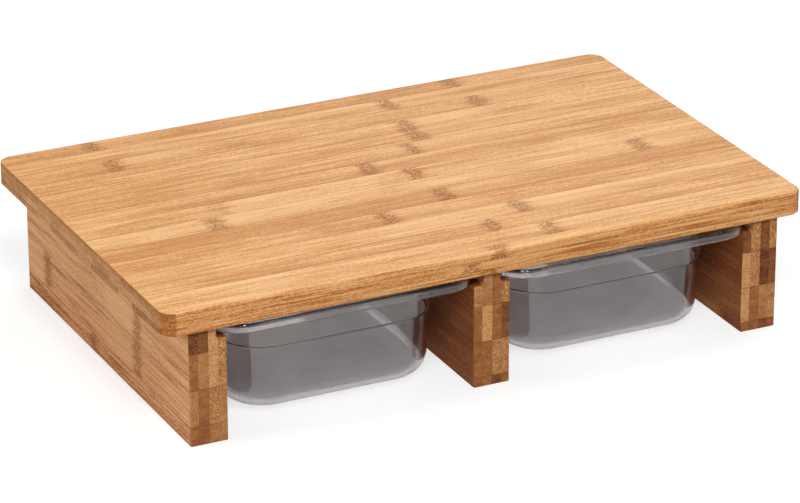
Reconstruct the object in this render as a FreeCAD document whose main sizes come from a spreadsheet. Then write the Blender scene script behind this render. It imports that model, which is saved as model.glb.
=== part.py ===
import FreeCAD, Part
import math
import os
import Sketcher

# A cutting board on three rails, with two clear trays that slide under it.
# +X runs along the front edge, +Y goes away from the cook and +Z is up, all in millimetres.
# The origin is on the worktop, under the middle of the board.

SIZES = {
    # The board: three plies glued face to face.
    "board_width": 400.0,
    "board_depth": 252.0,
    "board_corner_radius": 9.0,
    "top_ply_thickness": 5.0,
    "core_ply_thickness": 5.0,
    "bottom_ply_thickness": 4.0,
    "top_edge_round": 1.2,
    "bottom_edge_round": 1.0,
    # The rails: four staves side by side, with a rabbet along the top for each tray's rim.
    "rail_front_setback": 3.0,
    "rail_rear_setback": 6.0,
    "rail_edge_round": 1.0,
    "first_stave_width": 5.2,
    "second_stave_width": 6.3,
    "third_stave_width": 5.9,
    "fourth_stave_width": 5.1,
    "notch_width": 6.2,
    # The dowels that hold the board on the rails.
    "dowel_diameter": 8.0,
    "dowel_length": 30.0,
    "dowel_in_board": 8.0,
    "dowel_spacing": 90.0,
    "dowel_glue_gap": 0.1,
    "dowel_end_gap": 0.5,
    # The trays: a rim with a lip turned down, a stacking shoulder and tapered walls.
    "rim_width": 162.0,
    "rim_length": 176.0,
    "rim_corner_radius": 21.0,
    "rim_thickness": 2.2,
    "rim_edge_round": 1.4,
    "lip_height": 5.5,
    "lip_thickness": 2.2,
    "tray_height": 65.0,
    "tray_wall": 2.2,
    "tray_floor": 2.4,
    "shoulder_height": 39.0,
    "shoulder_step": 2.0,
    "shoulder_rise": 2.2,
    "mouth_inset": 14.0,
    "wall_lean_above": 0.7,
    "wall_lean_below": 2.0,
    "mouth_corner_radius": 30.0,
    "floor_edge_round": 12.0,
    # Where the trays run and how far each stands out in front of the board.
    "rim_side_clearance": 0.6,
    "rim_seat_clearance": 0.3,
    "rim_top_clearance": 1.0,
    "tray_worktop_clearance": 3.0,
    "left_tray_out": 0.0,
    "right_tray_out": 2.2,
}

STAVE_WIDTHS = ("first_stave_width", "second_stave_width", "third_stave_width", "fourth_stave_width")
DOWELS_PER_RAIL = 3
QUARTER_TURN = math.pi / 2

doc = FreeCAD.newDocument("cutting_board")
sheet = doc.addObject("Spreadsheet::Sheet", "Sizes")
for row, (alias, number) in enumerate(SIZES.items(), start=1):
    sheet.set(f"A{row}", alias)
    sheet.set(f"B{row}", str(number))
    sheet.setAlias(f"B{row}", alias)
doc.recompute()


def size(name):
    """The expression that reads one cell of the sheet."""
    return f"Sizes.{name}"


def value(expression):
    """The number that an expression gives now."""
    return float(sheet.evalExpression(expression))


# Sizes that follow from the driving ones, as expressions.
BOARD_THICKNESS = "(Sizes.top_ply_thickness + Sizes.core_ply_thickness + Sizes.bottom_ply_thickness)"
BOARD_FRONT = "(-Sizes.board_depth / 2)"
RAIL_THICKNESS = "(" + " + ".join(size(name) for name in STAVE_WIDTHS) + ")"
RAIL_HEIGHT = "(Sizes.tray_worktop_clearance + Sizes.tray_height + Sizes.rim_top_clearance)"
RAIL_LENGTH = "(Sizes.board_depth - Sizes.rail_front_setback - Sizes.rail_rear_setback)"
RAIL_FRONT = f"({BOARD_FRONT} + Sizes.rail_front_setback)"
BAY_WIDTH = "(Sizes.rim_width + 2 * Sizes.rim_side_clearance - 2 * Sizes.notch_width)"
RAIL_PITCH = f"({BAY_WIDTH} + {RAIL_THICKNESS})"
NOTCH_DEPTH = "(Sizes.lip_height + Sizes.rim_seat_clearance + Sizes.rim_top_clearance)"
TRAY_FOOT = "Sizes.tray_worktop_clearance"

RAIL_CENTRES = {
    "left_rail": f"(-{RAIL_PITCH})",
    "middle_rail": "(0)",
    "right_rail": f"({RAIL_PITCH})",
}
NOTCHED_SIDES = {
    "left_rail": ("right",),
    "middle_rail": ("left", "right"),
    "right_rail": ("left",),
}
TRAY_CENTRES = {
    "left_tray": f"(-{RAIL_PITCH} / 2)",
    "right_tray": f"({RAIL_PITCH} / 2)",
}

parts = {}


def keep(name, piece):
    """Gives a finished sub-part its label and puts it on the list that is written out."""
    piece.Label = name
    parts[name] = piece


def bind(target, settings):
    """Binds each property of an object to its expression."""
    for path, expression in settings.items():
        target.setExpression(path, expression)


def place(x, y, z):
    """The three bindings that put an object at a point."""
    return {"Placement.Base.x": x, "Placement.Base.y": y, "Placement.Base.z": z}


def box(name, corner, length, width, height):
    """A box with its low corner at a point, its length along X and its width along Y."""
    block = doc.addObject("Part::Box", name)
    bind(block, {"Length": length, "Width": width, "Height": height})
    bind(block, place(*corner))
    return block


def cylinder(name, foot, diameter, height):
    """An upright cylinder that stands on a point."""
    rod = doc.addObject("Part::Cylinder", name)
    bind(rod, {"Radius": f"{diameter} / 2", "Height": height})
    bind(rod, place(*foot))
    return rod


def cut(name, base, tool):
    """The base with the tool taken away."""
    result = doc.addObject("Part::Cut", name)
    result.Base = base
    result.Tool = tool
    result.Refine = True
    return result


def compound(name, members):
    """Several solids kept side by side in one object."""
    group = doc.addObject("Part::Compound", name)
    group.Links = members
    return group


def level_sketch(body, name, height):
    """An empty level sketch at a height in its body."""
    sketch = body.newObject("Sketcher::SketchObject", name)
    level = [plane for plane in body.Origin.OriginFeatures if plane.Role == "XY_Plane"][0]
    sketch.AttachmentSupport = [(level, "")]
    sketch.MapMode = "FlatFace"
    sketch.setExpression("AttachmentOffset.Base.z", height)
    return sketch


def rounded_rectangle(sketch, tag, along_x, along_y, radius):
    """Adds a rectangle with round corners to a sketch, centred on its origin and bound to the sizes."""
    half_x = value(along_x) / 2
    half_y = value(along_y) / 2
    bend = value(radius)
    first = sketch.GeometryCount
    up = FreeCAD.Vector(0, 0, 1)
    arcs = []
    for side_x, side_y, quarters in ((1, -1, 3), (1, 1, 0), (-1, 1, 1), (-1, -1, 2)):
        centre = FreeCAD.Vector(side_x * (half_x - bend), side_y * (half_y - bend), 0)
        turn = quarters * QUARTER_TURN
        arcs.append(Part.ArcOfCircle(Part.Circle(centre, up, bend), turn, turn + QUARTER_TURN))
    sides = [Part.LineSegment(arcs[k - 1].EndPoint, arcs[k].StartPoint) for k in range(4)]
    sketch.addGeometry(sides + arcs, False)
    start, end, centre = 1, 2, 3
    origin = -1
    rules = []
    for k in range(4):
        side, arc, next_side = first + k, first + 4 + k, first + (k + 1) % 4
        rules.append(Sketcher.Constraint("Tangent", side, end, arc, start))
        rules.append(Sketcher.Constraint("Tangent", arc, end, next_side, start))
        rules.append(Sketcher.Constraint("Horizontal" if k % 2 == 0 else "Vertical", side))
    for k in range(3):
        rules.append(Sketcher.Constraint("Equal", first + 4 + k, first + 5 + k))
    rules.append(Sketcher.Constraint("Symmetric", first + 4, centre, first + 6, centre, origin, start))
    sketch.addConstraint(rules)
    south, east, north, west = range(first, first + 4)
    dimensions = (
        ("width", Sketcher.Constraint("DistanceX", west, start, east, start, 2 * half_x), along_x),
        ("length", Sketcher.Constraint("DistanceY", south, start, north, start, 2 * half_y), along_y),
        ("radius", Sketcher.Constraint("Radius", first + 4, bend), radius),
    )
    for word, rule, expression in dimensions:
        number = sketch.addConstraint(rule)
        sketch.renameConstraint(number, f"{tag}_{word}")
        sketch.setExpression(f"Constraints.{tag}_{word}", expression)


def edges_at(shape, height):
    """The names of the edges that lie level at a height of a shape."""
    tolerance = 1e-4
    return [
        f"Edge{number}"
        for number, edge in enumerate(shape.Edges, start=1)
        if all(abs(limit - height) < tolerance for limit in (edge.BoundBox.ZMin, edge.BoundBox.ZMax))
    ]


def ease(body, base, name, edges, radius):
    """Rounds some edges of a body's last feature."""
    fillet = body.newObject("PartDesign::Fillet", name)
    fillet.Base = (base, edges)
    fillet.setExpression("Radius", radius)
    doc.recompute()


def ply(name, lift, thickness, rounded=None):
    """One ply of the board; rounded gives the eased edge's height in the ply and its radius."""
    body = doc.addObject("PartDesign::Body", f"{name}_body")
    sketch = level_sketch(body, f"{name}_outline", "0")
    rounded_rectangle(
        sketch,
        "outline",
        size("board_width"),
        size("board_depth"),
        size("board_corner_radius"),
    )
    pad = body.newObject("PartDesign::Pad", f"{name}_pad")
    pad.Profile = sketch
    pad.setExpression("Length", thickness)
    body.setExpression("Placement.Base.z", lift)
    if rounded:
        end, radius = rounded
        doc.recompute()
        ease(body, pad, f"{name}_eased_edge", edges_at(pad.Shape, value(end)), radius)
    keep(name, cut(f"{name}_drilled", body, dowel_holes))


def dowel_places(rail):
    """The plan positions of one rail's dowels."""
    middle = f"({RAIL_FRONT} + {RAIL_LENGTH} / 2)"
    reach = (DOWELS_PER_RAIL - 1) / 2
    return [
        (RAIL_CENTRES[rail], f"({middle} + {k - reach} * Sizes.dowel_spacing)")
        for k in range(DOWELS_PER_RAIL)
    ]


def drilled_holes():
    """The round holes that take the dowels, from inside the rails up into the board."""
    foot = f"({RAIL_HEIGHT} + Sizes.dowel_in_board - Sizes.dowel_length - Sizes.dowel_end_gap)"
    holes = [
        cylinder(
            f"{rail}_hole_{number}",
            (x, y, foot),
            "(Sizes.dowel_diameter + 2 * Sizes.dowel_glue_gap)",
            "(Sizes.dowel_length + 2 * Sizes.dowel_end_gap)",
        )
        for rail in RAIL_CENTRES
        for number, (x, y) in enumerate(dowel_places(rail), start=1)
    ]
    return compound("dowel_holes", holes)


def dowels(rail):
    """The dowels that join one rail to the board."""
    foot = f"({RAIL_HEIGHT} + Sizes.dowel_in_board - Sizes.dowel_length)"
    pegs = [
        cylinder(f"{rail}_dowel_{number}", (x, y, foot), size("dowel_diameter"), size("dowel_length"))
        for number, (x, y) in enumerate(dowel_places(rail), start=1)
    ]
    keep(f"{rail}_dowels", compound(f"{rail}_dowel_set", pegs))


def rail_blank(rail):
    """A whole rail: a glued bar with eased ends, rabbeted along the top and drilled for its dowels."""
    left_face = f"({RAIL_CENTRES[rail]} - {RAIL_THICKNESS} / 2)"
    bar = box(f"{rail}_bar", (left_face, RAIL_FRONT, "0"), RAIL_THICKNESS, RAIL_LENGTH, RAIL_HEIGHT)
    doc.recompute()
    eased = doc.addObject("Part::Fillet", f"{rail}_eased")
    eased.Base = bar
    radius = value(size("rail_edge_round"))
    upright = [
        number for number, edge in enumerate(bar.Shape.Edges, start=1)
        if edge.BoundBox.ZLength > value(RAIL_HEIGHT) / 2
    ]
    eased.Edges = [(number, radius, radius) for number in upright]
    notch_x = {
        "left": left_face,
        "right": f"({RAIL_CENTRES[rail]} + {RAIL_THICKNESS} / 2 - Sizes.notch_width)",
    }
    notches = [
        box(
            f"{rail}_{side}_notch",
            (notch_x[side], RAIL_FRONT, f"({RAIL_HEIGHT} - {NOTCH_DEPTH})"),
            size("notch_width"),
            RAIL_LENGTH,
            NOTCH_DEPTH,
        )
        for side in NOTCHED_SIDES[rail]
    ]
    cutters = compound(f"{rail}_cutters", notches)
    return cut(f"{rail}_drilled", cut(f"{rail}_notched", eased, cutters), dowel_holes)


def staves(rail):
    """The four staves of a rail, each the slice of the glued bar that its width takes."""
    blank = rail_blank(rail)
    left = f"{RAIL_CENTRES[rail]} - {RAIL_THICKNESS} / 2"
    for number, width in enumerate(STAVE_WIDTHS, start=1):
        name = f"{rail}_stave_{number}"
        slab = box(f"{name}_slab", (left, RAIL_FRONT, "0"), size(width), RAIL_LENGTH, RAIL_HEIGHT)
        stave = doc.addObject("Part::Common", f"{name}_slice")
        stave.Base = blank
        stave.Tool = slab
        stave.Refine = True
        keep(name, stave)
        left = f"{left} + {size(width)}"


def tray_section(body, name, height, lean, wall):
    """A level section of a tray at a height, set in from its mouth by its lean and by a wall."""
    sketch = level_sketch(body, name, height)
    set_in = f"2 * (Sizes.mouth_inset + {lean} + {wall})"
    rounded_rectangle(
        sketch,
        "section",
        f"(Sizes.rim_width - {set_in})",
        f"(Sizes.rim_length - {set_in})",
        f"(Sizes.mouth_corner_radius - {lean} - {wall})",
    )
    return sketch


def tray_form(name, tray_name, out, floor, wall):
    """A tray's tapered form as a body: mouth, both sides of the shoulder and floor, straight between."""
    body = doc.addObject("PartDesign::Body", name)
    above = size("wall_lean_above")
    below = f"({above} + Sizes.shoulder_step)"
    stations = [
        ("mouth", size("tray_height"), "0"),
        ("over_shoulder", "Sizes.shoulder_height + Sizes.shoulder_rise", above),
        ("under_shoulder", size("shoulder_height"), below),
        ("floor", floor, f"({below} + Sizes.wall_lean_below)"),
    ]
    sections = [
        tray_section(body, f"{name}_{word}", height, lean, wall)
        for word, height, lean in stations
    ]
    loft = body.newObject("PartDesign::AdditiveLoft", f"{name}_loft")
    loft.Profile = sections[0]
    loft.Sections = sections[1:]
    loft.Ruled = True
    doc.recompute()
    floor_edges = edges_at(loft.Shape, value(floor))
    ease(body, loft, f"{name}_floor_edge", floor_edges, f"(Sizes.floor_edge_round - {wall})")
    tray_front = f"({BOARD_FRONT} - {size(out)})"
    bind(body, place(TRAY_CENTRES[tray_name], f"({tray_front} + Sizes.rim_length / 2)", TRAY_FOOT))
    return body


def tray_rim(body):
    """Adds the flat rim around the mouth and the lip turned down from its edge."""
    name = body.Name
    rim = level_sketch(body, f"{name}_rim_outline", "Sizes.tray_height - Sizes.rim_thickness")
    rounded_rectangle(rim, "edge", size("rim_width"), size("rim_length"), size("rim_corner_radius"))
    flange = body.newObject("PartDesign::Pad", f"{name}_rim")
    flange.Profile = rim
    flange.setExpression("Length", size("rim_thickness"))
    lip = level_sketch(body, f"{name}_lip_outline", "Sizes.tray_height - Sizes.lip_height")
    rounded_rectangle(lip, "outside", size("rim_width"), size("rim_length"), size("rim_corner_radius"))
    rounded_rectangle(
        lip,
        "inside",
        "(Sizes.rim_width - 2 * Sizes.lip_thickness)",
        "(Sizes.rim_length - 2 * Sizes.lip_thickness)",
        "(Sizes.rim_corner_radius - Sizes.lip_thickness)",
    )
    skirt = body.newObject("PartDesign::Pad", f"{name}_lip")
    skirt.Profile = lip
    skirt.setExpression("Length", size("lip_height"))
    doc.recompute()
    top_edges = edges_at(skirt.Shape, value(size("tray_height")))
    ease(body, skirt, f"{name}_rim_edge", top_edges, size("rim_edge_round"))


def tray(name, out):
    """A moulded tray: its outer form and rim, less the hollow; out is how far it stands out in front."""
    outside = tray_form(f"{name}_outside", name, out, "0", "0")
    tray_rim(outside)
    hollow = tray_form(f"{name}_hollow", name, out, size("tray_floor"), size("tray_wall"))
    keep(name, cut(f"{name}_hollowed", outside, hollow))


def check_document():
    """Stops with a message if any object failed or any sub-part has no sound shape."""
    failed = [item.Name for item in doc.Objects if "Invalid" in item.State or "Error" in item.State]
    if failed:
        raise RuntimeError(f"objects that failed: {failed}")
    for name, piece in parts.items():
        if piece.Shape.isNull() or not piece.Shape.isValid() or not piece.Shape.Solids:
            raise RuntimeError(f"no sound shape: {name}")


dowel_holes = drilled_holes()
ply("board_bottom_ply", RAIL_HEIGHT, size("bottom_ply_thickness"), ("0", size("bottom_edge_round")))
ply("board_core_ply", f"{RAIL_HEIGHT} + Sizes.bottom_ply_thickness", size("core_ply_thickness"))
ply(
    "board_top_ply",
    f"{RAIL_HEIGHT} + {BOARD_THICKNESS} - Sizes.top_ply_thickness",
    size("top_ply_thickness"),
    (size("top_ply_thickness"), size("top_edge_round")),
)
for rail_name in RAIL_CENTRES:
    staves(rail_name)
    dowels(rail_name)
tray("left_tray", "left_tray_out")
tray("right_tray", "right_tray_out")

doc.recompute()
check_document()
os.makedirs("parts", exist_ok=True)
for part_name, part in parts.items():
    part.Shape.exportStep(f"parts/{part_name}.step")
    span = part.Shape.BoundBox
    print(
        f"{part_name}: {len(part.Shape.Solids)} solids, {part.Shape.Volume:.0f} mm3,"
        f" x {span.XMin:.2f}..{span.XMax:.2f}, y {span.YMin:.2f}..{span.YMax:.2f},"
        f" z {span.ZMin:.2f}..{span.ZMax:.2f}"
    )
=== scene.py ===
import math

import bpy
import numpy as np
from mathutils import Matrix, Vector


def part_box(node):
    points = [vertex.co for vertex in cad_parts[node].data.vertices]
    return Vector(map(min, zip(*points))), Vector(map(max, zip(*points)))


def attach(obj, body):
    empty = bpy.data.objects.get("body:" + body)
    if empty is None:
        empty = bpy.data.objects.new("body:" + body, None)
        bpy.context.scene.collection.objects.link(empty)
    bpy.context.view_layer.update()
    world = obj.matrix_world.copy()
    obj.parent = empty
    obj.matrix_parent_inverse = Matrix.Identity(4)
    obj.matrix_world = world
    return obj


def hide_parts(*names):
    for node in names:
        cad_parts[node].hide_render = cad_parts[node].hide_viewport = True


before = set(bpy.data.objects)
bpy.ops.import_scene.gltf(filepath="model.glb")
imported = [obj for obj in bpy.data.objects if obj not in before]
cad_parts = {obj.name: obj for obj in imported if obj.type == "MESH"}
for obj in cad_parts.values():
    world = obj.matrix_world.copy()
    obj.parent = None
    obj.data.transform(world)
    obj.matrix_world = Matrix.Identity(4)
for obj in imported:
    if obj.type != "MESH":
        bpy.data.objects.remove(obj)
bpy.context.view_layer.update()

# A bamboo cutting board on three glued rails, with two clear trays that slide under it.
# Everything is in metres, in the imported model's frame: +X along the front edge, +Y away from the cook, +Z up.
MM = 0.001
MICROMETRE = 1e-6
rng = np.random.default_rng(31)

# Positions are rounded to this many places before equal ones are joined, and NO_LENGTH is less than that.
PLACES = 7
NO_LENGTH = 1e-9
# An edge that turns by more than this many degrees is shaded as a sharp one.
SHARP_ANGLE = 40

# Camera: where it stands, which way it looks (degrees from +Y towards +X, and below level) and its lens.
CAMERA_PLACE = (-0.99252, -2.05459, 1.01814)
CAMERA_AZIMUTH = 25.8347
CAMERA_DOWN = 23.3285
CAMERA_ROLL = -0.1106
CAMERA_LENS = 190.986
SENSOR_WIDTH = 36.0
CAMERA_CLIP = (0.05, 50.0)

# The board: its corners' radius, and the steps that its corners and its eased edges are cut into.
BOARD_CORNER = 9.0 * MM
BOARD_CORNER_STEPS = 14
EDGE_STEPS = 4
PLY_COLUMNS = 48
# The groove at a seam of the top: how deep it is and how far its slopes reach.
PLY_GROOVE = 0.05 * MM
PLY_REACH = 0.35 * MM
# The eased edges of the top and of the underside, and the band of the top's edge, below its face, that is darker.
TOP_ROUND = 1.2 * MM
BOTTOM_ROUND = 1.0 * MM
TOP_EDGE = (0.1 * MM, 1.3 * MM)

# The top ply's seams between strips, in millimetres from the board's front edge.
STRIP_SEAMS = (7.8, 25.6, 43.1, 60.8, 78.2, 95.9, 113.6, 131.6, 149.3, 167.2, 184.9, 201.3, 219.3, 236.7)
# Culm nodes in each strip, in millimetres from the board's left end. The first strip is the sliver at the front.
# A third number is how strong the second node's scar is, where it is fainter than the others.
STRIP_MARKS = (
    (203.0,), (243.6,), (214.9,), (242.3,), (166.2,), (210.8,), (76.2, 348.7), (209.7, 85.9, 0.3),
    (188.5,), (224.6,), (237.4,), (237.4,), (56.9, 294.9), (243.1,), (56.9, 293.6),
)
# How light each strip is: 0 is the darkest and 1 the lightest.
STRIP_TONES = (0.55, 0.75, 0.5, 0.72, 0.5, 0.1, 0.72, 0.8, 0.42, 0.5, 0.6, 0.62, 0.45, 0.7, 0.25)
STRIP_WIDTH = 17.6 * MM
# The end of each ply's front strip, and the range of coarse dots in the end grain of all of them.
FRONT_END_TONE = 0.55
PLY_DOTS = (0.2, 0.6)
# The other plies' seams, and the range of their random culm nodes, in millimetres.
CORE_SEAMS = tuple(np.arange(12.0, 250.0, 22.0))
UNDER_SEAMS = tuple(np.arange(5.0, 250.0, 20.0))
HIDDEN_MARKS = (20, 380)
# A culm node that a strip lacks is put this many millimetres off, where it never shows.
NO_MARK = 9000.0

# The rails: radii of their outer and of their staves' inner edges, and how finely a stave is cut.
RAIL_EDGE = 1.0 * MM
INNER_EDGE = 0.2 * MM
RAIL_EDGE_STEPS = 5
INNER_EDGE_STEPS = 2
STAVE_ROWS = 30
STAVE_COLUMNS = 6
# A stave's foot is eased: heights and insets there, as shares of the inner edge's radius.
STAVE_FOOT = ((0.0, 0.9), (0.3, 0.3))
STAVE_GROOVE = 0.06 * MM
STAVE_REACH = 0.4 * MM
# The rabbet for a tray's rim: how deep it is from the rail's side, and how much its ledge rises to stay a face.
NOTCH = 6.2 * MM
LEDGE_RISE = 0.001 * MM
# The second and third staves that have no tray's rim on their side.
UNCUT_STAVES = (("left_rail", 2), ("right_rail", 3))

# The rails' strips: heights of the glue seams in millimetres above the worktop.
RAIL_SEAMS = {
    "left_rail": (11.4, 33.3, 55.1),
    "middle_rail": (5.6, 27.6, 49.4),
    "right_rail": (5.9, 27.6, 49.6),
}
# The end of each strip, stave by stave, with the lowest strip first.
# k is the darkest, then d, b, t and l, the lightest. A capital letter has coarse dots in its end grain.
RAIL_ENDS = {
    "left_rail": ("bbtt", "tbTt", "btLT", "KdLT"),
    "middle_rail": ("bbdb", "bbTT", "bLbd", "TtbT"),
    "right_rail": ("bbdb", "LbtT", "LTkd", "dTdT"),
}
# The staves whose broad side faces a tray: their strips are the darkest, painted darker as shade under the board.
SHADED_INNER_STAVES = (("left_rail", 4), ("middle_rail", 1), ("middle_rail", 4), ("right_rail", 1))
INNER_SHADE_TONES = (-0.3, -0.15)
STAVE_TONES = (0.35, 0.65)
END_TONES = {"k": 0.08, "d": 0.24, "b": 0.45, "t": 0.66, "l": 0.9}
COARSE_DOTS, SMOOTH_DOTS = 1.0, 0.15
# The broad side at the board's left end: tones, and culm nodes in millimetres from the front, lowest strip first.
LEFT_STAVE = ("left_rail", 1)
LEFT_TONES = (0.3, 0.58, 0.76, 0.84)
LEFT_MARKS = ((140,), (74, 210), (74,), (74,))

# A tray, in millimetres: thicknesses, heights over the tray's underside, and insets from the rim's outer edge.
TRAY_WALL, TRAY_FLOOR, TRAY_RIM, LIP_WIDTH, LIP_DROP = 2.2, 2.4, 2.2, 2.2, 5.5
TRAY_TOP, SHOULDER_TOP, SHOULDER_FOOT = 65.0, 41.2, 39.7
MOUTH_INSET, OVER_INSET, UNDER_INSET, FOOT_INSET, FLOOR_INSET = 14.0, 14.7, 16.7, 18.7, 60.0
# How far the wall leans over the thickness of the rim and over that of the floor.
RIM_LEAN, FLOOR_LEAN = 0.065, 0.12
# The profile's corners as (inset, height, radius): out along the underside, up the wall's outside, round the rim's
# lip, and down the inside to the floor.
TRAY_PROFILE = (
    (FLOOR_INSET, 0, 0),
    (FOOT_INSET, 0, 12),
    (UNDER_INSET, SHOULDER_FOOT, 0.35),
    (OVER_INSET, SHOULDER_TOP, 0.35),
    (MOUTH_INSET + RIM_LEAN, TRAY_TOP - TRAY_RIM, 1.2),
    (LIP_WIDTH, TRAY_TOP - TRAY_RIM, 0.6),
    (LIP_WIDTH, TRAY_TOP - LIP_DROP, 0.7),
    (0, TRAY_TOP - LIP_DROP, 0.7),
    (0, TRAY_TOP, 1.4),
    (MOUTH_INSET + TRAY_WALL, TRAY_TOP, 1.6),
    (OVER_INSET + TRAY_WALL, SHOULDER_TOP, 0.35),
    (UNDER_INSET + TRAY_WALL, SHOULDER_FOOT, 0.35),
    (FOOT_INSET + TRAY_WALL - FLOOR_LEAN, TRAY_FLOOR, 9.8),
    (FLOOR_INSET, TRAY_FLOOR, 0),
)
# The corner radius of the plan at some insets. It changes evenly between them.
TRAY_BENDS = ((0, 21), (2.2, 18.8), (14, 30), (44, 1), (60, 1))
# Steps of a corner of the profile, and of a corner and of a side of the plan.
TRAY_CORNER_STEPS = 6
TRAY_TURN_STEPS = 12
TRAY_SIDE_STEPS = 11
PLASTIC_IOR = 1.585

# How far a strip's shift of 1 moves its grain, in metres, and how much of a strip's tone its sides show.
GRAIN_SHIFT = (3.7, 1.3, 2.1)
TONE_SHARE = 0.62
# How brown a culm node's scar gets, and how much the wood past it is lighter and calmer.
SCAR_SHARE = 0.7
PALE_TONE = 0.14
PALE_CALM = 0.55
# How dark the glue between plies is on the sides, how much more it is on the ends, and the ends' upper edge.
JOINT_ON_SIDES, JOINT_MORE_ON_ENDS = 0.3, 0.45
UPPER_EDGE_SHARE = 0.4

# The worktop: how far it reaches, its height and its shade. Its glow grows over a span of distances from the origin,
# from one strength to another, and is lower for rays that came through the plastic.
FLOOR_REACH = 6.0
FLOOR_HEIGHT = -0.1 * MM
FLOOR_SHADE = (0.5, 0.5, 0.5, 1.0)
FLOOR_GLOW = (0.5, 2.2, 0.6, 1.0)
DIMMER_THROUGH_PLASTIC = 0.38
# The white world: its strength as light, and in gloss, where it goes from one strength to another between a low and
# a high direction.
WORLD_LIGHT = 0.2
WORLD_GLOSS = (0.3, 0.8, 1.0, 0.45)
WHITE = (1.0, 1.0, 1.0, 1.0)
# Each lamp's name, place, the point it faces, its width and its power in watts.
LAMPS = (
    ("overhead", (0.9, 0.3, 1.8), (0.0, 0.0, 0.05), 0.8, 11.5),
    ("front", (-0.45, -1.6, 1.8), (0.0, 0.0, 0.05), 0.8, 34.5),
    ("left", (-1.9, 0.1, 0.9), (0.0, 0.0, 0.05), 0.8, 14.6),
    ("window", (0.75, 1.25, 0.62), (0.1, 0.0, 0.08), 0.6, 2.0),
)


def paint(red, green, blue):
    """A colour given as it looks on screen, 0 to 255, turned into the linear colour that a shader takes: with v as a
    share of 255, ((v + 0.055) / 1.055) to the power 2.4."""
    return tuple(((v / 255 + 0.055) / 1.055) ** 2.4 for v in (red, green, blue)) + (1.0,)


# ---------------------------------------------------------------- meshes

def piece(name, points, faces, values, material, body, nodes):
    """Makes one finished piece from its points and faces. values holds its attributes, by domain and name."""
    mesh = bpy.data.meshes.new(name)
    mesh.from_pydata(points.tolist(), [], faces)
    for (domain, word), numbers in values.items():
        mesh.attributes.new(word, "FLOAT", domain).data.foreach_set("value", np.asarray(numbers, np.float32))
    mesh.materials.append(material)
    mesh.polygons.foreach_set("use_smooth", np.ones(len(mesh.polygons), bool))
    mesh.set_sharp_from_angle(angle=math.radians(SHARP_ANGLE))
    thing = bpy.data.objects.new(name, mesh)
    bpy.context.scene.collection.objects.link(thing)
    flat = thing.modifiers.new("flat_faces", "WEIGHTED_NORMAL")
    flat.keep_sharp = True
    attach(thing, body)
    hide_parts(*nodes)


def node_box(name):
    """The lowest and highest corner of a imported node, to the nearest micrometre."""
    return tuple(np.round(np.array(corner), 6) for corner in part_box(name))


def ring_quads(rings, count):
    """The four-cornered faces between neighbouring rings of count points each, stacked upwards."""
    ring, spot = np.meshgrid(np.arange(rings - 1), np.arange(count), indexing="ij")
    after = (spot + 1) % count
    corners = [ring * count + spot, ring * count + after, (ring + 1) * count + after, (ring + 1) * count + spot]
    return np.stack(corners, -1).reshape(-1, 4)


def corner_rows(start, bend, direction, steps):
    """Row positions that share out a round corner evenly by angle: at angle t, bend times (1 - cos t) from start."""
    turn = np.linspace(0, math.pi / 2, steps + 1)
    return start + direction * bend * (1 - np.cos(turn))


def side_line(rows, low, high, wall, bend_low, bend_high, outward):
    """A block's left or right side as seen from above: its points and outward normals at each row.
    Along the straight part the point lies on the wall; near an end it follows a circle of that end's bend."""
    centre = np.where(rows < low + bend_low, low + bend_low, np.where(rows > high - bend_high, high - bend_high, rows))
    bend = np.where(rows < low + bend_low, bend_low, bend_high)
    lean = np.clip((rows - centre) / bend, -1, 1)
    across = np.sqrt(1 - lean ** 2)
    normals = np.stack([outward * across, lean], -1)
    points = np.stack([wall - outward * bend * (1 - across), rows], -1)
    return points, normals


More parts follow.
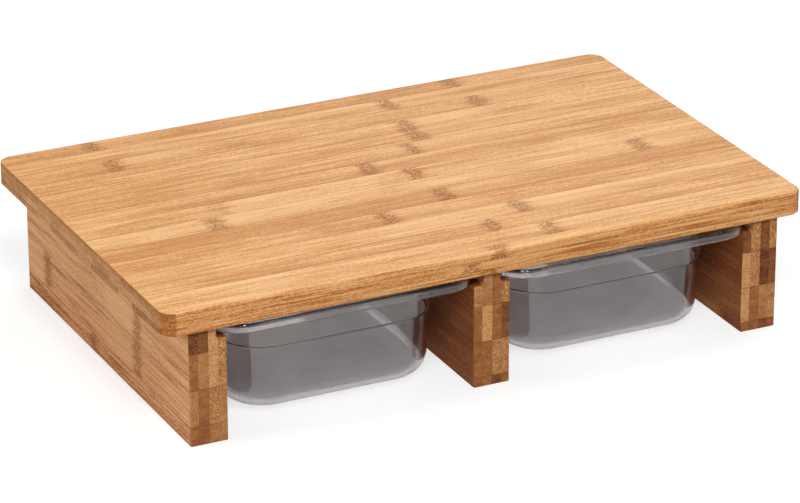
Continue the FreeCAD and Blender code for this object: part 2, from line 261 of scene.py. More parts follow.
def block(low, high, bends, rows, columns, levels, squeeze=None):
    """A closed block whose plan is a rectangle with round corners, as points and faces.
    bends are the corner radii at front left, front right, back right and back left. rows are positions along Y, and
    columns is how many points cross the block from left to right, evenly spaced in each row.
    Each level is (height, inset, narrowed): the plan, moved in along its normals by the inset. Where it is narrowed,
    its width is then scaled, so that the wall on one side comes in by a depth. squeeze = (side, depth) gives the
    side, 1 for the right and -1 for the left, and the depth."""
    left, left_normals = side_line(rows, low[1], high[1], low[0], bends[0], bends[3], -1)
    right, right_normals = side_line(rows, low[1], high[1], high[0], bends[1], bends[2], 1)
    share = np.linspace(0, 1, columns)[:, None]
    front = left[0] + share * (right[0] - left[0])
    back = left[-1] + share * (right[-1] - left[-1])
    forward = np.tile([0.0, -1.0], (columns, 1))
    plan = np.concatenate([front, right[1:], back[::-1][1:], left[::-1][1:-1]])
    normals = np.concatenate([forward, right_normals[1:], -forward[1:], left_normals[::-1][1:-1]])
    count = len(plan)

    def at_level(height, inset, narrowed):
        spots = plan - inset * normals
        if narrowed:
            side, depth = squeeze
            anchor = low[0] if side > 0 else high[0]
            spots[:, 0] = anchor + (spots[:, 0] - anchor) * (1 - depth / (high[0] - low[0]))
        return np.column_stack([spots, np.full(len(spots), height)])

    rings = np.concatenate([at_level(*level) for level in levels])
    # Where the plan's points stand in the grid of rows and columns that closes an end: round its border.
    grid = np.zeros((len(rows), columns), int)
    grid[0] = np.arange(columns)
    grid[1:, -1] = columns + np.arange(len(rows) - 1)
    grid[-1, -2::-1] = columns + len(rows) - 1 + np.arange(columns - 1)
    grid[-2:0:-1, 0] = 2 * columns + len(rows) - 2 + np.arange(len(rows) - 2)
    inner_count = (len(rows) - 2) * (columns - 2)

    def cap(ring_start, fill_start):
        """The points inside one end, on straight lines between its left and right wall, and the end's faces."""
        ring = rings[ring_start:ring_start + count]
        starts, ends = ring[grid[1:-1, 0]][:, None], ring[grid[1:-1, -1]][:, None]
        fill = starts + share[1:-1][None] * (ends - starts)
        index = grid + ring_start
        index[1:-1, 1:-1] = fill_start + np.arange(inner_count).reshape(len(rows) - 2, columns - 2)
        quads = np.stack([index[:-1, :-1], index[:-1, 1:], index[1:, 1:], index[1:, :-1]], -1).reshape(-1, 4)
        return fill.reshape(-1, 3), quads

    under_fill, under = cap(0, len(rings))
    top_fill, top = cap((len(levels) - 1) * count, len(rings) + inner_count)
    points = np.concatenate([rings, under_fill, top_fill])
    faces = np.concatenate([ring_quads(len(levels), count), under[:, ::-1], top])
    return points, faces


def middles(points, faces):
    """The middle of each face."""
    return points[faces].mean(1)


def with_seams(edges, seams, reach):
    """Positions for a cut at each seam and at a reach on both sides of it, joined to the given edges."""
    seams = np.asarray(seams)
    every = np.unique(np.round(np.concatenate([edges, seams, seams - reach, seams + reach]), PLACES))
    return every[(every >= edges[0] - NO_LENGTH) & (every <= edges[-1] + NO_LENGTH)]


def near_seam(places, seams):
    """1 at each seam and 0 elsewhere."""
    gaps = np.abs(np.asarray(places)[:, None] - np.asarray(seams)[None]).min(1)
    return (gaps < MICROMETRE).astype(float)


def round_levels(low, high, round_low, round_high):
    """Heights and insets of a block with a quarter round at its foot and head, each given by its radius, or by 0 for
    a square edge. At angle t, the height is the radius times (1 - sin t) from that end, and the inset is the radius
    times (1 - cos t)."""
    turn = np.linspace(0, math.pi / 2, EDGE_STEPS + 1)
    foot = [(low + round_low * (1 - math.sin(t)), round_low * (1 - math.cos(t))) for t in turn[::-1]]
    head = [(high - round_high * (1 - math.sin(t)), round_high * (1 - math.cos(t))) for t in turn]
    return (foot if round_low else [(low, 0.0)]) + (head if round_high else [(high, 0.0)])


def mark_numbers(marks, which, otherwise):
    """One number out of each strip's marks, and another value where a strip has no such number."""
    return np.array([mark[which] if len(mark) > which else otherwise for mark in marks])


def face_values(strip, **by_strip):
    """Face attributes from numbers given strip by strip, where strip says which strip each face is on."""
    return {("FACE", word): np.asarray(numbers)[strip] for word, numbers in by_strip.items()}


def ply(name, seams, tones, marks, rounds, end_range, material):
    """One ply of the board: strips along X glued edge to edge, with a fine groove at each seam of the top one.
    seams and marks are in millimetres, from the front edge and from the left end. rounds holds the radii of the lower
    and the upper edge, 0 where another ply joins on. end_range is the range of tones of the strips' ends."""
    low, high = node_box(name)
    seam_rows = low[1] + np.array(seams) * MM
    front = corner_rows(low[1], BOARD_CORNER, 1, BOARD_CORNER_STEPS)
    back = corner_rows(high[1], BOARD_CORNER, -1, BOARD_CORNER_STEPS)[::-1]
    rows = with_seams(np.concatenate([front, back]), seam_rows, PLY_REACH)
    joints = [height for height, radius in ((low[2], rounds[0]), (high[2], rounds[1])) if not radius]
    beside = [joint + side * PLY_REACH for joint in joints for side in (-1, 1)]
    heights = round_levels(low[2], high[2], *rounds) + [(h, 0.0) for h in beside if low[2] < h < high[2]]
    levels = [(height, inset, False) for height, inset in sorted(heights)]
    points, faces = block(low, high, [BOARD_CORNER] * 4, rows, PLY_COLUMNS, levels)
    is_top_ply = rounds[1] > 0
    seam = near_seam(points[:, 1], seam_rows) * is_top_ply
    on_top = points[:, 2] > high[2] - MICROMETRE
    points[:, 2] -= PLY_GROOVE * seam * on_top
    edge = (points[:, 2] > high[2] - TOP_EDGE[1]) & (points[:, 2] < high[2] - TOP_EDGE[0]) & is_top_ply
    strip = np.searchsorted(seam_rows, middles(points, faces)[:, 1])
    shifts = rng.uniform(0, 1, len(tones))
    end_tones = rng.uniform(*end_range, len(tones))
    end_tones[0] = FRONT_END_TONE
    values = face_values(
        strip,
        tone=tones,
        start=np.concatenate([[seam_rows[0] - STRIP_WIDTH], seam_rows]),
        shift=shifts,
        mark_one=low[0] + mark_numbers(marks, 0, NO_MARK) * MM,
        mark_two=low[0] + mark_numbers(marks, 1, NO_MARK) * MM,
        second_strength=mark_numbers(marks, 2, 1.0),
        end_tone=end_tones,
        dots=rng.uniform(*PLY_DOTS, len(tones)),
    )
    values["POINT", "seam"] = seam
    values["POINT", "edge"] = edge
    values["POINT", "joint"] = near_seam(points[:, 2], joints)
    piece(f"{name}_strips", points, faces.tolist(), values, material, "board_on_rails", [name])


def hidden_ply(name, seams, front_mark, tone_range, rounds, end_range, material):
    """A ply whose edges alone show. Its tones and node marks are drawn at random, but for the front strip's mark."""
    marks = ((front_mark,),) + tuple((float(m),) for m in rng.uniform(*HIDDEN_MARKS, len(seams)))
    tones = tuple(rng.uniform(*tone_range, len(marks)))
    ply(name, seams, tones, marks, rounds, end_range, material)


def stave(rail, number, material):
    """One stave of a rail: strips along Y stacked on edge, with a fine groove at each seam, and rabbeted where a
    tray's rim runs beside it."""
    name = f"{rail}_stave_{number}"
    low, high = node_box(name)
    bends = [INNER_EDGE] * 4
    if number == 1:
        bends[0] = bends[3] = RAIL_EDGE
    if number == 4:
        bends[1] = bends[2] = RAIL_EDGE
    rows = np.unique(np.round(np.concatenate([
        corner_rows(low[1], RAIL_EDGE, 1, RAIL_EDGE_STEPS), corner_rows(high[1], RAIL_EDGE, -1, RAIL_EDGE_STEPS),
        corner_rows(low[1], INNER_EDGE, 1, INNER_EDGE_STEPS), corner_rows(high[1], INNER_EDGE, -1, INNER_EDGE_STEPS),
        low[1] + np.linspace(0.05, 0.95, STAVE_ROWS) * (high[1] - low[1]),
    ]), PLACES))
    seams = np.array([h * MM for h in RAIL_SEAMS[rail] if h * MM < high[2] - STAVE_REACH])
    levels = [(low[2] + up * INNER_EDGE, inward * INNER_EDGE, False) for up, inward in STAVE_FOOT]
    rabbet = rabbet_of(rail, number)
    for height in with_seams(np.array([low[2] + INNER_EDGE, high[2]]), seams, STAVE_REACH):
        inset = STAVE_GROOVE * float(near_seam([height], seams)[0])
        levels.append((height, inset, bool(rabbet) and height > rabbet[0]))
    if rabbet:
        levels += [(rabbet[0], 0.0, False), (rabbet[0] + LEDGE_RISE, 0.0, True)]
        levels.sort(key=lambda level: level[0])
    points, faces = block(low, high, bends, rows, STAVE_COLUMNS, levels, rabbet and rabbet[1:])
    strip = np.searchsorted(seams, middles(points, faces)[:, 2])
    letters = [ends[number - 1] for ends in RAIL_ENDS[rail]]
    marks = rng.uniform(low[1], high[1], len(letters))
    second = np.full(len(letters), NO_MARK * MM)
    side_tones = rng.uniform(*STAVE_TONES, len(letters))
    # Painted shade: staves that face a tray get darker tones for the dim bay under the board.
    if (rail, number) in SHADED_INNER_STAVES:
        side_tones = rng.uniform(*INNER_SHADE_TONES, len(letters))
    if (rail, number) == LEFT_STAVE:
        marks, second = (low[1] + mark_numbers(LEFT_MARKS, which, NO_MARK) * MM for which in (0, 1))
        side_tones = LEFT_TONES
    values = face_values(
        strip,
        tone=side_tones,
        start=np.full(len(letters), low[0]),
        shift=rng.uniform(0, 1, len(letters)),
        mark_one=marks,
        mark_two=second,
        second_strength=np.ones(len(letters)),
        end_tone=[END_TONES[letter.lower()] for letter in letters],
        dots=[COARSE_DOTS if letter.isupper() else SMOOTH_DOTS for letter in letters],
    )
    values["POINT", "seam"] = near_seam(points[:, 2], seams)
    values["POINT", "edge"] = np.zeros(len(points))
    values["POINT", "joint"] = np.zeros(len(points))
    piece(f"{name}_strips", points, faces.tolist(), values, material, "board_on_rails", [name])


def rabbet_of(rail, number):
    """The cut for a tray's rim in stave 2 or 3, as (height, side, depth), or None. It begins at the top of the shorter
    outer stave, on that stave's side (1 right, -1 left), and the two together are NOTCH deep."""
    if number not in (2, 3) or (rail, number) in UNCUT_STAVES:
        return None
    side, outer = (1, 4) if number == 3 else (-1, 1)
    outer_low, outer_high = node_box(f"{rail}_stave_{outer}")
    return outer_high[2], side, NOTCH - (outer_high[0] - outer_low[0])


# ---------------------------------------------------------------- trays

def rounded(corners, steps):
    """A profile with its corners rounded: corners are (inset, height, radius), and each corner with a radius is
    replaced by points along the circle that touches both of its sides. With h as half the corner's angle, the circle
    meets the sides at radius / tan h from the corner and its centre is radius / sin h from it, along the bisector."""
    path = [np.array(corners[0][:2])]
    for before, here, after in zip(corners, corners[1:], corners[2:]):
        point = np.array(here[:2])
        to_before = np.array(before[:2]) - point
        to_after = np.array(after[:2]) - point
        to_before = to_before / np.linalg.norm(to_before)
        to_after = to_after / np.linalg.norm(to_after)
        half = math.acos(np.clip(to_before @ to_after, -1, 1)) / 2
        reach = here[2] / math.tan(half)
        bisector = (to_before + to_after) / np.linalg.norm(to_before + to_after)
        centre = point + bisector * here[2] / math.sin(half)
        start, end = point + to_before * reach - centre, point + to_after * reach - centre
        angle = math.pi - 2 * half
        for share in np.linspace(0, 1, steps + 1):
            arm = (math.sin((1 - share) * angle) * start + math.sin(share * angle) * end) / math.sin(angle)
            path.append(centre + arm)
    path.append(np.array(corners[-1][:2]))
    return np.array(path)


def tray(name, material, body):
    """A moulded tray: a closed profile of floor, wall, shoulder, rim and lip, carried round a rectangle with round
    corners. At each station the rectangle is moved in by the station's inset and its corners get that inset's bend."""
    low, high = node_box(name)
    centre = (low[:2] + high[:2]) / 2
    half = (high[:2] - low[:2]) / 2
    profile = rounded(TRAY_PROFILE, TRAY_CORNER_STEPS) * MM
    inset, height = profile[:, 0], profile[:, 1]
    bend = (np.interp(inset / MM, *zip(*TRAY_BENDS)) * MM)[:, None]
    turn = np.linspace(0, math.pi / 2, TRAY_TURN_STEPS + 1)
    loops = []
    for side_x, side_y, start in ((1, -1, -math.pi / 2), (1, 1, 0), (-1, 1, math.pi / 2), (-1, -1, math.pi)):
        x = side_x * (half[0] - inset[:, None] - bend) + bend * np.cos(start + turn)
        y = side_y * (half[1] - inset[:, None] - bend) + bend * np.sin(start + turn)
        loops.append(np.stack([x, y], -1))
    along = np.linspace(0, 1, TRAY_SIDE_STEPS + 1)[1:-1]
    joined = []
    for here, after in zip(loops, loops[1:] + loops[:1]):
        joined.append(here)
        joined.append(here[:, -1:] + along[None, :, None] * (after[:, :1] - here[:, -1:]))
    plan = np.concatenate(joined, 1)
    rings, count = plan.shape[:2]
    heights = np.broadcast_to((low[2] + height)[:, None, None], (rings, count, 1))
    points = np.concatenate([plan + centre, heights], -1).reshape(-1, 3)
    # The middles of the underside and of the floor, each joined to the ring next to it by a fan of triangles.
    middle_points = np.array([[*centre, low[2]], [*centre, low[2] + TRAY_FLOOR * MM]])
    spot = np.arange(count)
    after = (spot + 1) % count
    last = (rings - 1) * count
    under_fan = np.stack([np.full(count, len(points)), after, spot], -1)
    top_fan = np.stack([last + spot, last + after, np.full(count, len(points) + 1)], -1)
    faces = ring_quads(rings, count).tolist() + under_fan.tolist() + top_fan.tolist()
    points = np.concatenate([points, middle_points])
    piece(f"{name}_shell", points, faces, {}, material, body, [name])


# ---------------------------------------------------------------- materials

def give(tree, socket, given):
    """Gives an input a value or a link."""
    if isinstance(given, bpy.types.NodeSocket):
        tree.links.new(given, socket)
    else:
        socket.default_value = given


def add(tree, kind, settings=None, **inputs):
    """Adds a node, sets its settings and gives its inputs a value or a link. An input's name has _ for a space, or is
    i and a number for the input at that place."""
    node = tree.nodes.new(kind)
    for word, setting in (settings or {}).items():
        setattr(node, word, setting)
    for word, given in inputs.items():
        numbered = word[0] == "i" and word[1:].isdigit()
        give(tree, node.inputs[int(word[1:]) if numbered else word.replace("_", " ")], given)
    return node


def calc(tree, operation, first, second=0.0, third=0.0, clamp=False):
    """The output of a Math node."""
    node = add(tree, "ShaderNodeMath", {"operation": operation, "use_clamp": clamp}, i0=first, i1=second, i2=third)
    return node.outputs[0]


def blend(tree, share, first, second, mode="MIX"):
    """The output of a colour Mix node."""
    node = add(tree, "ShaderNodeMix", {"data_type": "RGBA", "blend_type": mode, "clamp_factor": True})
    for word, kind, given in (("Factor", "VALUE", share), ("A", "RGBA", first), ("B", "RGBA", second)):
        give(tree, next(socket for socket in node.inputs if socket.name == word and socket.type == kind), given)
    return next(socket for socket in node.outputs if socket.type == "RGBA")


def span(tree, given, low, high, to_low=0.0, to_high=1.0):
    """A value carried from one span to another with soft ends."""
    node = add(
        tree, "ShaderNodeMapRange", {"interpolation_type": "SMOOTHSTEP"},
        Value=given, From_Min=low, From_Max=high, To_Min=to_low, To_Max=to_high,
    )
    return node.outputs["Result"]


def stretched(tree, place, scale, detail=3.0, roughness=0.55):
    """Noise stretched by a different scale along each axis."""
    fitted = add(tree, "ShaderNodeVectorMath", {"operation": "MULTIPLY"}, i0=place, i1=scale)
    noise = add(
        tree, "ShaderNodeTexNoise", {"noise_dimensions": "3D"},
        Vector=fitted.outputs[0], Scale=1.0, Detail=detail, Roughness=roughness,
    )
    return noise.outputs["Fac"]


def ramp(tree, given, shades):
    """A colour ramp through evenly spaced shades."""
    node = add(tree, "ShaderNodeValToRGB", Fac=given)
    stops = node.color_ramp.elements
    stops[0].color, stops[1].color = shades[0], shades[-1]
    for number, shade in enumerate(shades[1:-1], 1):
        stops.new(number / (len(shades) - 1)).color = shade
    return node.outputs["Color"]


def new_group(name, inputs, outputs):
    """An empty node group with named sockets."""
    tree = bpy.data.node_groups.new(name, "ShaderNodeTree")
    for word, kind in inputs:
        tree.interface.new_socket(name=word, in_out="INPUT", socket_type=kind)
    for word, kind in outputs:
        tree.interface.new_socket(name=word, in_out="OUTPUT", socket_type=kind)
    return tree, tree.nodes.new("NodeGroupInput").outputs, tree.nodes.new("NodeGroupOutput").inputs


def new_material(name):
    """An empty material and its node tree."""
    material = bpy.data.materials.new(name)
    material.use_nodes = True
    material.node_tree.nodes.clear()
    return material, material.node_tree


def make_long_grain():
    """Fibres along X, seen from the side: patches, bands, streaks, lines, short flecks and grit, each finer than the
    last. Broad scales the wide ones and Fine the narrow ones. A tone of 0 leaves the strip's own."""
    tree, given, out = new_group(
        "long_grain",
        [("Place", "NodeSocketVector"), ("Broad", "NodeSocketFloat"), ("Fine", "NodeSocketFloat")],
        [("Tone", "NodeSocketFloat"), ("Lines", "NodeSocketFloat"), ("Height", "NodeSocketFloat")],
    )
    place = given["Place"]
    patches = stretched(tree, place, (13.0, 50.0, 50.0), 3.0)
    bands = stretched(tree, place, (4.5, 150.0, 150.0), 2.0)
    streaks = stretched(tree, place, (10.0, 420.0, 420.0), 2.0, 0.6)
    lines = stretched(tree, place, (26.0, 1050.0, 1050.0), 2.0, 0.6)
    flecks = stretched(tree, place, (330.0, 1500.0, 1500.0), 2.0, 0.6)
    grit = stretched(tree, place, (900.0, 1500.0, 1500.0), 1.0, 0.5)
    # Each noise has its middle at a half, so half of the shares' sum is taken off.
    streak_share, line_share, grit_share = 0.75, 1.95, 1.3
    broad = calc(tree, "SUBTRACT", calc(tree, "ADD", bands, patches), 1.0)
    broad = calc(tree, "MULTIPLY", broad, given["Broad"])
    fine = calc(tree, "MULTIPLY_ADD", streaks, streak_share, calc(tree, "MULTIPLY", lines, line_share))
    fine = calc(tree, "SUBTRACT", calc(tree, "ADD", flecks, fine), (streak_share + line_share + 1.0) / 2)
    fine = calc(tree, "SUBTRACT", calc(tree, "MULTIPLY", fine, given["Fine"]), grit_share / 2)
    fine = calc(tree, "MULTIPLY_ADD", grit, grit_share, fine)
    tree.links.new(calc(tree, "ADD", broad, fine), out["Tone"])
    tree.links.new(span(tree, lines, 0.45, 0.3), out["Lines"])
    tree.links.new(calc(tree, "MULTIPLY_ADD", lines, 0.6, calc(tree, "MULTIPLY", streaks, 0.4)), out["Height"])
    return tree


def make_end_grain():
    """Fibres cut across: fibre bundles as dark and light specks, over soft clouds. Coarse makes them stronger."""
    tree, given, out = new_group(
        "end_grain",
        [("Place", "NodeSocketVector"), ("Coarse", "NodeSocketFloat")],
        [("Tone", "NodeSocketFloat"), ("Height", "NodeSocketFloat")],
    )
    fitted = add(tree, "ShaderNodeVectorMath", {"operation": "MULTIPLY"}, i0=given["Place"], i1=(60.0, 1250.0, 1050.0))
    cells = add(tree, "ShaderNodeTexVoronoi", {"feature": "F1"}, Vector=fitted.outputs[0], Scale=1.0, Randomness=0.9)
    dots = span(tree, cells.outputs["Distance"], 0.55, 0.15)
    cloud = stretched(tree, given["Place"], (30.0, 120.0, 220.0), 3.0, 0.6)
    fleck = stretched(tree, given["Place"], (90.0, 900.0, 900.0), 2.0, 0.6)
    dot_share, fleck_share, cloud_share = -0.42, 1.2, 0.7
    fleck = calc(tree, "SUBTRACT", fleck, 0.5)
    cloud = calc(tree, "SUBTRACT", cloud, 0.5)
    speckle = calc(tree, "MULTIPLY_ADD", fleck, fleck_share, calc(tree, "MULTIPLY", dots, dot_share))
    tone = calc(tree, "MULTIPLY", speckle, calc(tree, "MULTIPLY_ADD", given["Coarse"], 0.8, 0.3))
    tone = calc(tree, "ADD", tone, calc(tree, "MULTIPLY", cloud, cloud_share))
    tree.links.new(calc(tree, "MULTIPLY_ADD", given["Coarse"], 0.1, tone), out["Tone"])
    tree.links.new(calc(tree, "MULTIPLY", dots, -1.0), out["Height"])
    return tree


def make_culm_node():
    """The scar that a culm's node leaves across a strip: a broken brown patch, and calm pale wood past it. Along is the
    place along the fibres and Mark is the scar's, both in metres."""
    tree, given, out = new_group(
        "culm_node",
        [("Place", "NodeSocketVector"), ("Along", "NodeSocketFloat"), ("Mark", "NodeSocketFloat")],
        [("Dark", "NodeSocketFloat"), ("Pale", "NodeSocketFloat")],
    )
    # In metres: how far noise pushes the scar about, how far from the mark it starts and is full, and the same for
    # where the pale wood past it begins and ends.
    raggedness = 0.018
    scar_reach, scar_full = 0.0078, 0.0018
    pale_begins, pale_ends = (0.004, 0.014), (0.075, 0.02)
    wobble = calc(tree, "SUBTRACT", stretched(tree, given["Place"], (90.0, 300.0, 300.0), 3.0, 0.7), 0.5)
    gap = calc(tree, "SUBTRACT", given["Along"], given["Mark"])
    gap = calc(tree, "ADD", gap, calc(tree, "MULTIPLY", wobble, raggedness))
    patch = span(tree, calc(tree, "ABSOLUTE", gap), scar_reach, scar_full)
    specks = stretched(tree, given["Place"], (600.0, 850.0, 850.0), 2.0, 0.7)
    dark = calc(tree, "MULTIPLY", patch, span(tree, specks, 0.42, 0.55, 0.15, 1.0))
    pale = calc(tree, "MULTIPLY", span(tree, gap, *pale_begins), span(tree, gap, *pale_ends))
    tree.links.new(dark, out["Dark"])
    tree.links.new(pale, out["Pale"])
    return tree


LONG_GRAIN = make_long_grain()
END_GRAIN = make_end_grain()
CULM_NODE = make_culm_node()


def group(tree, made, **inputs):
    """The outputs of a node group, placed with its inputs given."""
    return add(tree, "ShaderNodeGroup", {"node_tree": made}, **inputs).outputs


def attribute(tree, word):
    """A number kept on the piece's mesh."""
    return add(tree, "ShaderNodeAttribute", {"attribute_name": word}).outputs["Fac"]


def end_mask(tree, lengthwise, upward):
    """1 where a strip's end shows and 0 on its sides, from the normal's parts along the fibres and upwards. Round a
    corner of the board the end grain starts earlier at the near end (left or front) than at the far one."""
    near_end = span(tree, lengthwise, -0.12, -0.25)
    far_end = span(tree, lengthwise, 0.45, 0.7)
    upright = span(tree, calc(tree, "ABSOLUTE", upward), 0.8, 0.5)
    return calc(tree, "MULTIPLY", calc(tree, "MAXIMUM", near_end, far_end), upright)


def node_scars(tree, moved, place):
    """How dark and how pale a strip's two culm nodes make it at a place along its fibres."""
    one, two = (
        group(tree, CULM_NODE, Place=moved, Along=place, Mark=attribute(tree, word))
        for word in ("mark_one", "mark_two")
    )
    dark = calc(tree, "MULTIPLY", two["Dark"], attribute(tree, "second_strength"))
    return calc(tree, "MAXIMUM", one["Dark"], dark), calc(tree, "MAXIMUM", one["Pale"], two["Pale"])


def bamboo(name, along, look):
    """Strips of bamboo with fibres along one axis ("X" or "Y"). look holds its shades from dark to light, for the
    flat side, the narrow side and the end grain, how strong each grain is, and its roughness."""
    material, tree = new_material(name)
    across = "Y" if along == "X" else "X"
    coordinates = add(tree, "ShaderNodeTexCoord").outputs
    place = add(tree, "ShaderNodeSeparateXYZ", Vector=coordinates["Object"]).outputs
    facing = add(tree, "ShaderNodeSeparateXYZ", Vector=coordinates["Normal"]).outputs
    # The grain's own place, with X along the fibres: a strip's shift takes it to another part of the same noise.
    shift = attribute(tree, "shift")
    moved = add(
        tree, "ShaderNodeCombineXYZ",
        X=calc(tree, "MULTIPLY_ADD", shift, GRAIN_SHIFT[0], place[along]),
        Y=calc(tree, "MULTIPLY_ADD", shift, GRAIN_SHIFT[1], place[across]),
        Z=calc(tree, "MULTIPLY_ADD", shift, GRAIN_SHIFT[2], place["Z"]),
    ).outputs[0]
    edgewise = span(tree, calc(tree, "ABSOLUTE", facing[across]), 0.4, 0.8)
    cut = calc(tree, "ABSOLUTE", facing[along])
    is_end = end_mask(tree, facing[along], facing["Z"])
    scar, pale = node_scars(tree, moved, place[along])

    # The sides: a strip's tone, a slow change over its width, and the long grain, which is calmer past a node.
    (flat_fine, narrow_fine), (flat_broad, narrow_broad) = look["fine"], look["broad"]
    fine = calc(tree, "MULTIPLY_ADD", edgewise, narrow_fine - flat_fine, flat_fine)
    fine = calc(tree, "MULTIPLY", fine, calc(tree, "MULTIPLY_ADD", pale, -PALE_CALM, 1.0))
    broad = calc(tree, "MULTIPLY_ADD", edgewise, narrow_broad - flat_broad, flat_broad)
    grain = group(tree, LONG_GRAIN, Place=moved, Broad=broad, Fine=fine)
    strip_tone = attribute(tree, "tone")
    share = calc(tree, "DIVIDE", calc(tree, "SUBTRACT", place[across], attribute(tree, "start")), STRIP_WIDTH)
    slope = calc(tree, "SUBTRACT", look["slope"], calc(tree, "MULTIPLY", edgewise, look["slope"]))
    slope = calc(tree, "MULTIPLY", calc(tree, "SUBTRACT", share, 0.5), slope)
    figure = calc(tree, "MULTIPLY", grain["Tone"], span(tree, strip_tone, -0.1, 0.2, 0.3, 1.0))
    tone = calc(tree, "MULTIPLY_ADD", calc(tree, "SUBTRACT", strip_tone, 0.5), TONE_SHARE, 0.5)
    tone = calc(tree, "ADD", calc(tree, "ADD", tone, slope), figure)
    tone = calc(tree, "MULTIPLY_ADD", pale, PALE_TONE, tone, clamp=True)
    side_colour = blend(tree, edgewise, ramp(tree, tone, look["flat"]), ramp(tree, tone, look["narrow"]))
    side_colour = blend(tree, calc(tree, "MULTIPLY", scar, SCAR_SHARE), side_colour, look["scar"])

    # The ends: dotted or smooth. Round a corner of the board the fibres are cut at a slant, coarser and darker;
    # the darkening there is partly painted shade.
    slant_dots = calc(tree, "MULTIPLY", span(tree, cut, 0.8, 0.65), look["slant"])
    slant_tint_and_shade_share = calc(tree, "MULTIPLY", span(tree, cut, 0.985, 0.9), look["slant"])
    ends = group(tree, END_GRAIN, Place=moved, Coarse=calc(tree, "MAXIMUM", attribute(tree, "dots"), slant_dots))
    end_value = calc(tree, "ADD", attribute(tree, "end_tone"), ends["Tone"], clamp=True)
    end_colour = blend(tree, slant_tint_and_shade_share, ramp(tree, end_value, look["end"]), SLANT_TINT_AND_SHADE, "MULTIPLY")
    colour = blend(tree, is_end, side_colour, end_colour)

    # The dark lines: seams between strips, glue between plies, and a darker band along the upper edge of the board's
    # ends.
    seam_strength = span(tree, stretched(tree, moved, (16.0, 30.0, 30.0), 2.0), 0.35, 0.65, 0.15, 0.9)
    seam = calc(tree, "MULTIPLY", attribute(tree, "seam"), seam_strength)
    joint_strength = calc(tree, "MULTIPLY_ADD", is_end, JOINT_MORE_ON_ENDS, JOINT_ON_SIDES)
    joint = calc(tree, "MULTIPLY", attribute(tree, "joint"), joint_strength)
    upper_edge = calc(tree, "MULTIPLY", attribute(tree, "edge"), is_end)
    upper_edge = calc(tree, "MULTIPLY", upper_edge, UPPER_EDGE_SHARE)
    dark_line = calc(tree, "MAXIMUM", seam, calc(tree, "MAXIMUM", joint, upper_edge))
    colour = blend(tree, dark_line, colour, look["seam"])

    relief = calc(tree, "MULTIPLY_ADD", is_end, calc(tree, "MULTIPLY", ends["Height"], 0.6), grain["Height"])
    bump = add(tree, "ShaderNodeBump", Strength=0.3, Distance=0.00025, Height=relief)
    roughness = calc(tree, "MULTIPLY_ADD", is_end, 0.1, look["rough"])
    roughness = calc(tree, "MULTIPLY_ADD", grain["Lines"], 0.12, roughness)
    shader = add(
        tree, "ShaderNodeBsdfPrincipled",
        Base_Color=colour, Roughness=roughness, Specular_IOR_Level=look["shine"], Normal=bump.outputs[0],
    )
    add(tree, "ShaderNodeOutputMaterial", Surface=shader.outputs[0])
    return material


def dowel_wood():
    """Turned beech: pale fibres up the dowel with fine brown flecks."""
    material, tree = new_material("turned_beech")
    place = add(tree, "ShaderNodeTexCoord").outputs["Object"]
    fibres = stretched(tree, place, (1400.0, 1400.0, 60.0), 3.0)
    flecks = stretched(tree, place, (2600.0, 2600.0, 400.0), 1.0)
    colour = blend(tree, span(tree, fibres, 0.3, 0.7), paint(205, 170, 128), paint(231, 203, 163))
    colour = blend(tree, span(tree, flecks, 0.62, 0.72, 0.0, 0.6), colour, paint(150, 104, 66))
    bump = add(tree, "ShaderNodeBump", Strength=0.3, Distance=0.0002, Height=fibres)
    shader = add(
        tree, "ShaderNodeBsdfPrincipled",
        Base_Color=colour, Roughness=span(tree, fibres, 0.3, 0.7, 0.6, 0.75), Normal=bump.outputs[0],
    )
    add(tree, "ShaderNodeOutputMaterial", Surface=shader.outputs[0])
    return material


def clear_plastic():
    """Clear moulded polycarbonate with faint flow waves and fine scuffs. Light from the lamps passes through it."""
    material, tree = new_material("clear_polycarbonate")
    place = add(tree, "ShaderNodeTexCoord").outputs["Object"]
    waves = stretched(tree, place, (18.0, 18.0, 30.0), 2.0)
    scuffs = span(tree, stretched(tree, place, (900.0, 260.0, 500.0), 3.0), 0.6, 0.75)
    haze = stretched(tree, place, (40.0, 40.0, 60.0), 3.0)
    roughness = calc(tree, "MULTIPLY_ADD", scuffs, 0.06, span(tree, haze, 0.35, 0.7, 0.01, 0.03))
    bump = add(tree, "ShaderNodeBump", Strength=0.1, Distance=0.0005, Height=waves)
    # The grey tint is partly the plastic's own and partly painted shade, darkening the trays as the shaded bay would.
    grey_tint_and_shade = blend(tree, span(tree, haze, 0.3, 0.7), paint(220, 217, 218), paint(230, 226, 227))
    shader = add(
        tree, "ShaderNodeBsdfPrincipled",
        Base_Color=grey_tint_and_shade, Roughness=roughness, IOR=PLASTIC_IOR, Transmission_Weight=1.0, Normal=bump.outputs[0],
    )
    through = add(tree, "ShaderNodeBsdfTransparent", Color=paint(222, 218, 220))
    shadow = add(tree, "ShaderNodeLightPath").outputs["Is Shadow Ray"]
    mixed = add(tree, "ShaderNodeMixShader", i0=shadow, i1=shader.outputs[0], i2=through.outputs[0])
    add(tree, "ShaderNodeOutputMaterial", Surface=mixed.outputs[0])
    return material


# ---------------------------------------------------------------- the object

# What the end grain is multiplied by where the fibres are cut at a slant: partly its colour, partly painted shade.
SLANT_TINT_AND_SHADE = (0.86, 0.67, 0.48, 1.0)
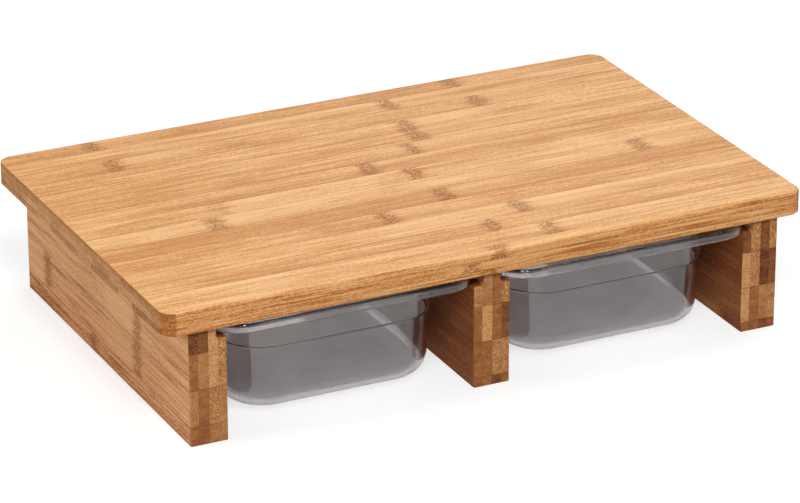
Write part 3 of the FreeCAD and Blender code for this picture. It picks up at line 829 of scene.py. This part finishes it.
# Shades of each side from dark to light; a scar's and a seam's shade; broad and fine grain on the flat and on the
# narrow side; the change of tone over a strip's width; roughness; how much a slant and its painted shade show; and
# gloss.
BOARD_LOOK = {
    "flat": (paint(194, 132, 80), paint(218, 160, 102), paint(241, 193, 140)),
    "narrow": (paint(184, 112, 58), paint(227, 159, 94), paint(244, 191, 133)),
    "end": (paint(116, 70, 36), paint(188, 131, 80), paint(226, 174, 122)),
    "scar": paint(134, 68, 12),
    "seam": paint(116, 66, 26),
    "broad": (0.95, 0.6), "fine": (1.0, 1.4), "slope": 0.2, "rough": 0.45, "slant": 1.0, "shine": 0.06,
}
RAIL_LOOK = {
    "flat": (paint(146, 80, 42), paint(208, 148, 98), paint(236, 184, 134)),
    "narrow": (paint(146, 80, 42), paint(212, 152, 102), paint(238, 187, 138)),
    "end": (paint(104, 58, 38), paint(174, 112, 66), paint(224, 168, 110)),
    "scar": paint(128, 56, 12),
    "seam": paint(104, 60, 34),
    "broad": (0.5, 0.5), "fine": (0.8, 0.8), "slope": 0.0, "rough": 0.6, "slant": 0.0, "shine": 0.08,
}
board_bamboo = bamboo("board_bamboo_strips", "X", BOARD_LOOK)
rail_bamboo = bamboo("rail_bamboo_strips", "Y", RAIL_LOOK)
plastic = clear_plastic()
beech = dowel_wood()

ply("board_top_ply", STRIP_SEAMS, STRIP_TONES, STRIP_MARKS, (0.0, TOP_ROUND), (0.5, 0.75), board_bamboo)
hidden_ply("board_core_ply", CORE_SEAMS, 186.0, (0.3, 0.6), (0.0, 0.0), (0.45, 0.72), board_bamboo)
hidden_ply("board_bottom_ply", UNDER_SEAMS, 197.0, (0.3, 0.7), (BOTTOM_ROUND, 0.0), (0.22, 0.75), board_bamboo)
for rail in RAIL_SEAMS:
    for number in range(1, 5):
        stave(rail, number, rail_bamboo)
    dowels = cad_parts[f"{rail}_dowels"]
    dowels.data.materials.clear()
    dowels.data.materials.append(beech)
tray("left_tray", plastic, "left_tray")
tray("right_tray", plastic, "right_tray")


# ---------------------------------------------------------------- floor, lamps and camera

def any_ray(tree, path, *kinds):
    """1 for rays of the given kinds and 0 for others. path holds the outputs of a Light Path node."""
    found = path[f"Is {kinds[0]} Ray"]
    for kind in kinds[1:]:
        found = calc(tree, "MAXIMUM", found, path[f"Is {kind} Ray"])
    return found


def make_floor():
    """A wide pale worktop, which keeps the object's shadow. It glows white for rays from the camera, off gloss and
    through the plastic, less near the object, and less still through the plastic."""
    corners = [(x * FLOOR_REACH, y * FLOOR_REACH, FLOOR_HEIGHT) for x, y in ((-1, -1), (1, -1), (1, 1), (-1, 1))]
    mesh = bpy.data.meshes.new("worktop")
    mesh.from_pydata(corners, [], [(0, 1, 2, 3)])
    material, tree = new_material("white_worktop")
    matt = add(tree, "ShaderNodeBsdfDiffuse", Color=FLOOR_SHADE)
    path = add(tree, "ShaderNodeLightPath").outputs
    place = add(tree, "ShaderNodeTexCoord").outputs["Object"]
    away = add(tree, "ShaderNodeVectorMath", {"operation": "LENGTH"}, i0=place).outputs["Value"]
    seen = any_ray(tree, path, "Camera", "Glossy", "Transmission")
    glow = calc(tree, "MULTIPLY", seen, span(tree, away, *FLOOR_GLOW))
    glow = calc(tree, "MULTIPLY_ADD", path["Is Transmission Ray"], -DIMMER_THROUGH_PLASTIC, glow)
    lit = add(tree, "ShaderNodeEmission", Color=WHITE, Strength=glow)
    both = add(tree, "ShaderNodeAddShader", i0=matt.outputs[0], i1=lit.outputs[0])
    add(tree, "ShaderNodeOutputMaterial", Surface=both.outputs[0])
    mesh.materials.append(material)
    floor = bpy.data.objects.new("worktop", mesh)
    bpy.context.scene.collection.objects.link(floor)


def make_world():
    """White all round: full strength where it is seen, a part of that as light, and less overhead in gloss."""
    world = bpy.data.worlds.new("studio")
    world.use_nodes = True
    tree = world.node_tree
    tree.nodes.clear()
    path = add(tree, "ShaderNodeLightPath").outputs
    seen = any_ray(tree, path, "Camera", "Transmission")
    direction = add(tree, "ShaderNodeSeparateXYZ", Vector=add(tree, "ShaderNodeTexCoord").outputs["Generated"])
    glossy = span(tree, direction.outputs["Z"], *WORLD_GLOSS)
    strength = calc(tree, "MULTIPLY_ADD", seen, 1.0 - WORLD_LIGHT, WORLD_LIGHT)
    more = calc(tree, "MULTIPLY", path["Is Glossy Ray"], calc(tree, "SUBTRACT", glossy, WORLD_LIGHT))
    sky = add(tree, "ShaderNodeBackground", Color=WHITE, Strength=calc(tree, "ADD", strength, more))
    add(tree, "ShaderNodeOutputWorld", Surface=sky.outputs[0])
    bpy.context.scene.world = world


def lamp(name, place, aim, size, power):
    """A square soft lamp at a place, turned to face a point."""
    data = bpy.data.lights.new(name, "AREA")
    data.shape = "SQUARE"
    data.size = size
    data.energy = power
    thing = bpy.data.objects.new(name, data)
    thing.location = place
    thing.rotation_euler = Vector([a - p for a, p in zip(aim, place)]).to_track_quat("-Z", "Y").to_euler()
    bpy.context.scene.collection.objects.link(thing)


def make_camera():
    """The camera, from its place, azimuth, downward angle and roll."""
    azimuth, down, roll = (math.radians(a) for a in (CAMERA_AZIMUTH, CAMERA_DOWN, CAMERA_ROLL))
    ahead = Vector((math.sin(azimuth) * math.cos(down), math.cos(azimuth) * math.cos(down), -math.sin(down)))
    right = Vector((math.cos(azimuth), -math.sin(azimuth), 0))
    up = right.cross(ahead)
    turned_right = right * math.cos(roll) + up * math.sin(roll)
    turned_up = turned_right.cross(ahead)
    data = bpy.data.cameras.new("camera")
    data.sensor_width = SENSOR_WIDTH
    data.lens = CAMERA_LENS
    data.clip_start, data.clip_end = CAMERA_CLIP
    camera = bpy.data.objects.new("camera", data)
    turn = Matrix((turned_right, turned_up, -ahead)).transposed().to_4x4()
    camera.matrix_world = Matrix.Translation(CAMERA_PLACE) @ turn
    bpy.context.scene.collection.objects.link(camera)
    bpy.context.scene.camera = camera


make_floor()
make_world()
for settings in LAMPS:
    lamp(*settings)
make_camera()
bpy.context.scene.view_settings.view_transform = "Standard"
